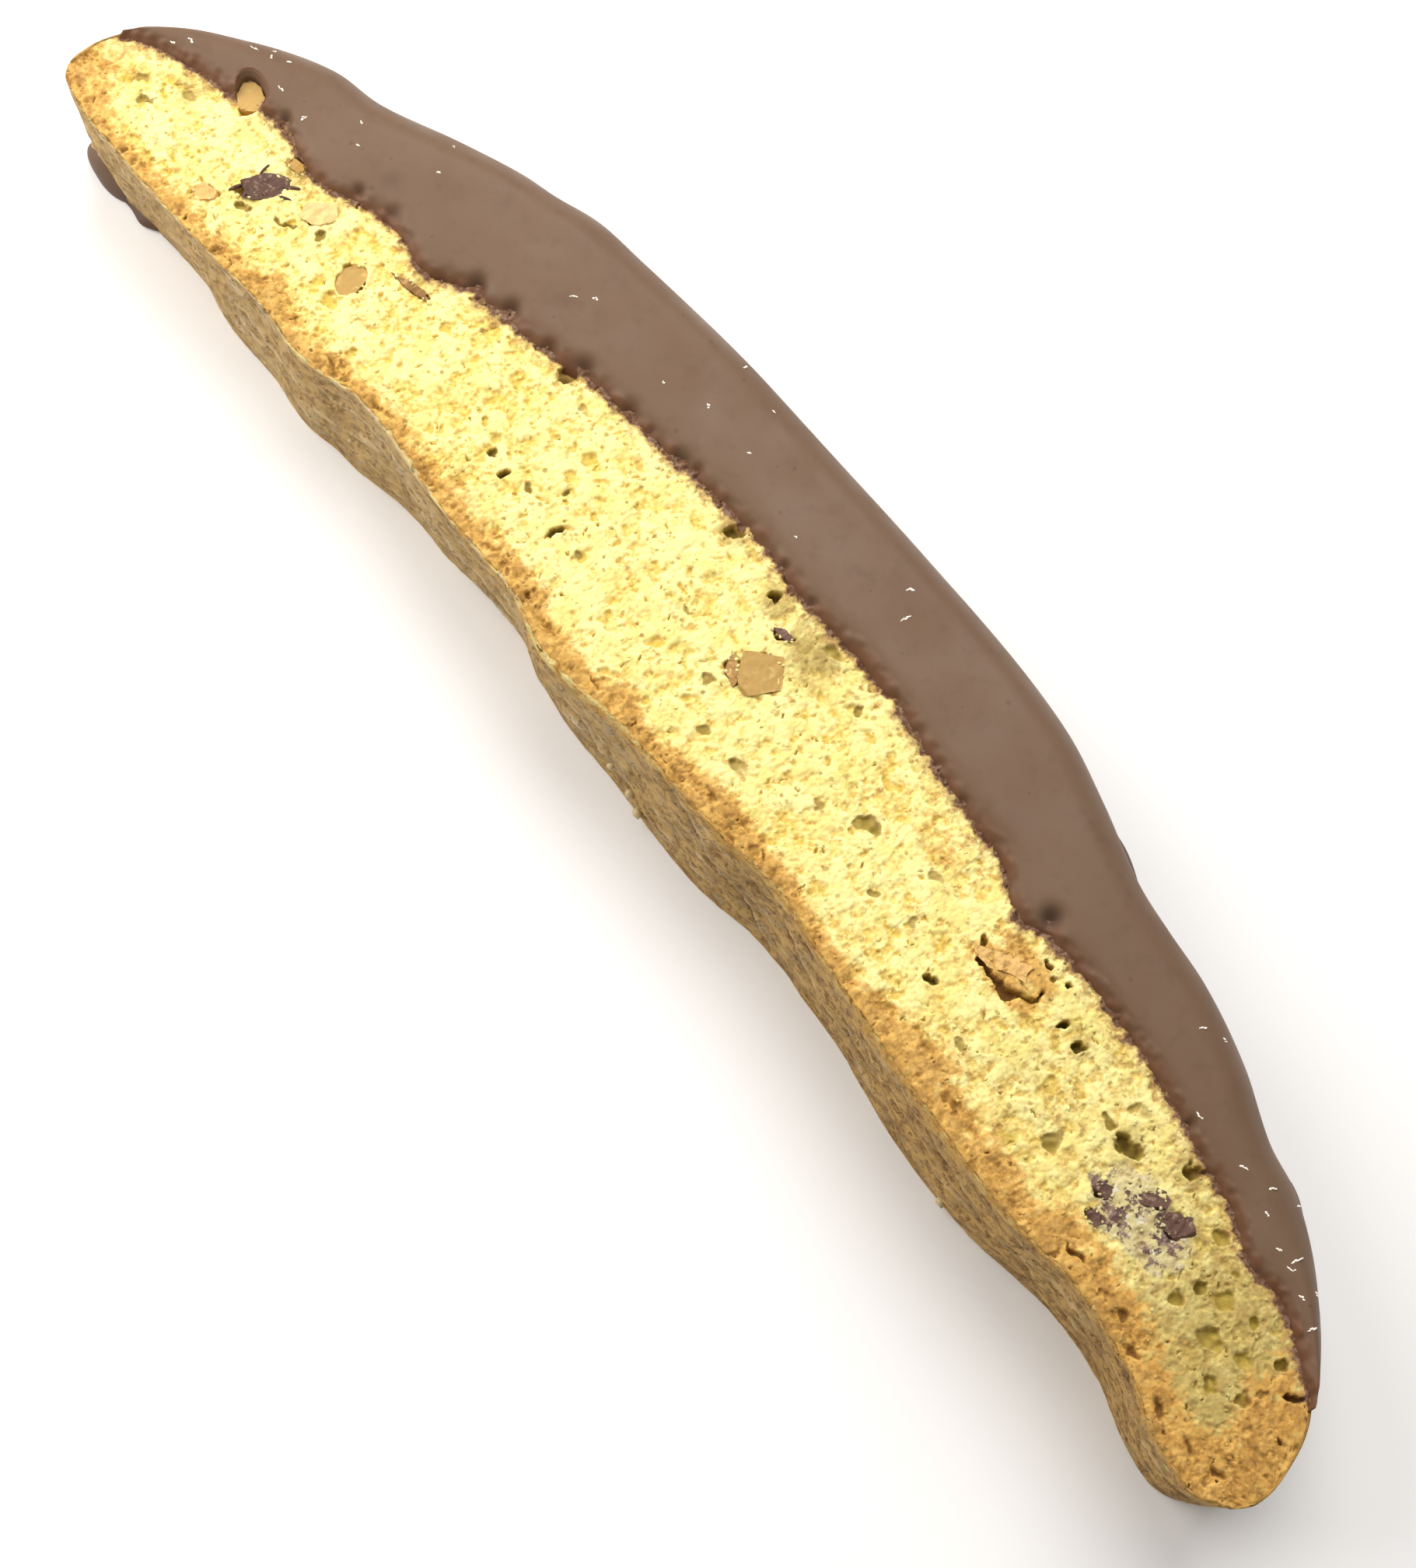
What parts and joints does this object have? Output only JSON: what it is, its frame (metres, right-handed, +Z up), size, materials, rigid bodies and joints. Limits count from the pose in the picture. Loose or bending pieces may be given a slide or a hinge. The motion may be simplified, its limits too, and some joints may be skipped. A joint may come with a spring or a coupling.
{
  "type": "biscotti",
  "caption": "Long almond biscotti slice lying on one cut face, its domed side coated in milk chocolate, with nut pieces and chocolate chips in the crumb.",
  "frame": {"origin": "centre of the bounding box, on the surface the slice lies on", "axes": "+X along the slice towards its blunt end, +Y towards the chocolate-coated dome, +Z up out of the shown cut face"},
  "size_m": [0.1806, 0.0454, 0.0171],
  "materials": {
    "baked_crumb": "baked biscuit: dry porous yellow crumb on the cut faces, tan matte crust on the base",
    "milk_chocolate": "set milk chocolate, smooth satin gloss",
    "almond": "cut almond, pale and slightly waxy",
    "almond_skin": "toasted almond with brown skin, dry",
    "dark_chocolate": "broken baked chocolate chip, dull with a crumb dusting"
  },
  "bodies": {
    "root": {"biscuit": "baked_crumb", "chocolate_coating": "milk_chocolate", "almond_in_window": "almond", "almond_tan_bit": "almond_skin", "chocolate_chunk": "dark_chocolate", "almond_pale_bit": "almond", "almond_peach_piece": "almond", "almond_oval_slice": "almond", "almond_sliver": "almond_skin", "almond_big_piece": "almond", "almond_brown_side": "almond_skin", "red_brown_chip": "dark_chocolate", "toasted_almond": "almond_skin", "chip_crumb_near_base": "dark_chocolate", "chip_crumb_left": "dark_chocolate", "chip_crumb_middle": "dark_chocolate", "chip_crumb_right": "dark_chocolate"}
  },
  "joints": []
}
